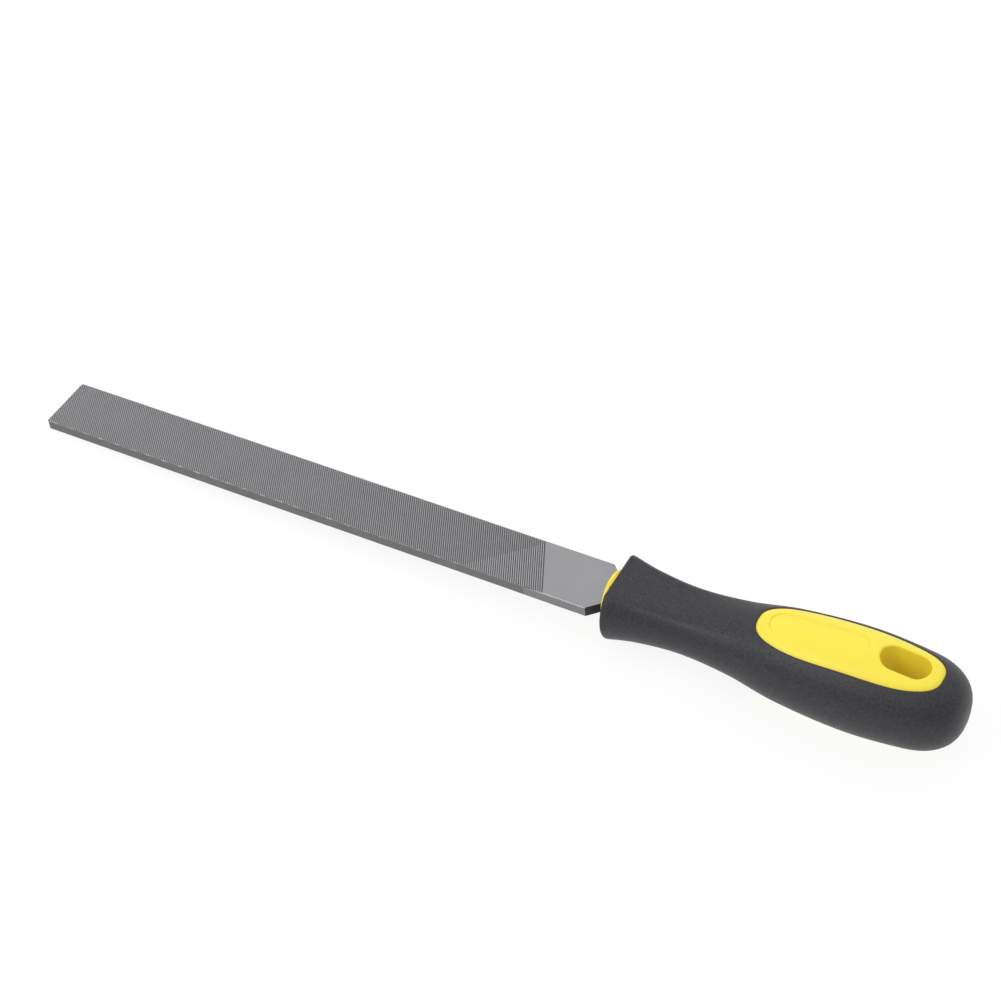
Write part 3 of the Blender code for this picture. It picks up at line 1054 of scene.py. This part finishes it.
def make_floor():
    """The floor, which touches the handle's belly and the blade's tip, so it is tilted in this frame."""
    blade_low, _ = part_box("file_blade")
    belly_x = float(MERIDIAN_X[np.argmax(MERIDIAN_RADIUS)]) + SHOULDER
    tip = Vector((blade_low.x, 0.0, AXIS_HEIGHT - HEEL_HALF_THICKNESS))
    belly = Vector((belly_x, 0.0, AXIS_HEIGHT - float(MERIDIAN_RADIUS.max())))
    mesh = bpy.data.meshes.new("floor")
    reach = 3.0
    corners = [(-reach, -reach, 0), (reach, -reach, 0), (reach, reach, 0), (-reach, reach, 0)]
    mesh.from_pydata(corners, [], [(0, 1, 2, 3)])
    floor = bpy.data.objects.new("floor", mesh)
    bpy.context.scene.collection.objects.link(floor)
    floor.location = belly
    floor.rotation_euler.y = math.atan2(tip.z - belly.z, belly.x - tip.x)
    nodes = Nodes("floor")
    nodes.set(Base_Color=(0.15, 0.15, 0.15, 1.0), Roughness=0.9, Specular_IOR_Level=0.0)
    nodes.set(Emission_Color=(1.0, 1.0, 1.0, 1.0), Emission_Strength=0.86)
    # One-sided, so that a low view from beyond the tip looks through it and not at its underside.
    mix = nodes.add("ShaderNodeMixShader")
    nodes.link(nodes.add("ShaderNodeNewGeometry").outputs["Backfacing"], mix.inputs["Fac"])
    nodes.link(nodes.shader.outputs["BSDF"], mix.inputs[1])
    nodes.link(nodes.add("ShaderNodeBsdfTransparent").outputs["BSDF"], mix.inputs[2])
    nodes.link(mix.outputs["Shader"], nodes.tree.nodes["Material Output"].inputs["Surface"])
    mesh.materials.append(nodes.material)


def area_light(name, place, size, power):
    """A round soft light that points at the middle of the frame."""
    light = bpy.data.lights.new(name, "AREA")
    light.shape, light.size, light.energy = "DISK", size, power
    lamp = bpy.data.objects.new(name, light)
    lamp.location = place
    lamp.rotation_euler = (-Vector(place)).to_track_quat("-Z", "Y").to_euler()
    bpy.context.scene.collection.objects.link(lamp)


def make_studio():
    """A pale world that lights the file from all round, and one soft key light."""
    scene = bpy.context.scene
    scene.view_settings.view_transform = "Standard"
    world = bpy.data.worlds.new("studio")
    world.use_nodes = True
    tree = world.node_tree
    background = tree.nodes["Background"]
    background.inputs["Color"].default_value = (1.0, 1.0, 1.0, 1.0)
    # A softbox of a sky: brightest above and behind, so that teeth and edges have something to catch.
    towards = tree.nodes.new("ShaderNodeVectorMath")
    towards.operation = "DOT_PRODUCT"
    towards.inputs[1].default_value = Vector((-0.15, 0.4, 0.9)).normalized()
    tree.links.new(tree.nodes.new("ShaderNodeTexCoord").outputs["Generated"], towards.inputs[0])
    ramp = tree.nodes.new("ShaderNodeMapRange")
    for name, number in zip(("From Min", "From Max", "To Min", "To Max"), (-0.1, 0.65, 0.42, 1.13)):
        ramp.inputs[name].default_value = number
    tree.links.new(towards.outputs["Value"], ramp.inputs["Value"])
    tree.links.new(ramp.outputs["Result"], background.inputs["Strength"])
    scene.world = world
    area_light("key", (-0.25, -0.6, 0.6), 0.45, 2.0)


def make_camera():
    """The camera at the photograph's viewing angle."""
    camera = bpy.data.cameras.new("camera")
    camera.lens = 81.27
    camera.sensor_width = 36.0
    camera.clip_start, camera.clip_end = 0.01, 20.0
    obj = bpy.data.objects.new("camera", camera)
    obj.location = (0.27121, -0.40878, 0.52407)
    obj.rotation_euler = [math.radians(angle) for angle in (44.974, 4.077, 28.495)]
    bpy.context.scene.collection.objects.link(obj)
    bpy.context.scene.camera = obj


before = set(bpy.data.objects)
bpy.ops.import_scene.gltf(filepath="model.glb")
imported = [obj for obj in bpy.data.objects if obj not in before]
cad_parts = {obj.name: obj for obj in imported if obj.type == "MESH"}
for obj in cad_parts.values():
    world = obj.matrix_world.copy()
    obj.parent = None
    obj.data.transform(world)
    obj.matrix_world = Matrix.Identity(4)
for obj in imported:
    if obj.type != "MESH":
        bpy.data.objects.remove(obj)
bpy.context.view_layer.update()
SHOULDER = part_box("grip_sleeve")[0].x - SLEEVE_FRONT
AXIS_HEIGHT = (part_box("file_blade")[0].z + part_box("file_blade")[1].z) / 2
TO_FRAME = Matrix.Translation((SHOULDER, 0.0, AXIS_HEIGHT))

steels = [
    cut_steel(),
    plain_steel("ground_steel", 0.285, 0.335, (0.26, 0.36)),
    plain_steel("cut_edge_steel", 0.16, 0.21, (0.36, 0.48), tint=(1.0, 0.985, 0.965)),
    # A darker copy of the ground steel for the heel's narrow edges and broken edges: painted shade.
    plain_steel("heel_edge_shaded_steel", 0.21, 0.25, (0.34, 0.46)),
    # Nearly black steel for the shoulders and tang: forged scale, and painted shade.
    plain_steel("forged_shaded_steel", 0.05, 0.08, (0.45, 0.60)),
]
finish_piece("toothed_blade", blade_bmesh(), "file_blade", steels, sharp_deg=None)
finish_piece("moulded_core", core_bmesh(), "handle_core", [yellow_plastic()])
finish_piece("soft_sleeve", sleeve_bmesh(), "grip_sleeve", [dark_rubber()])
make_floor()
make_studio()
make_camera()
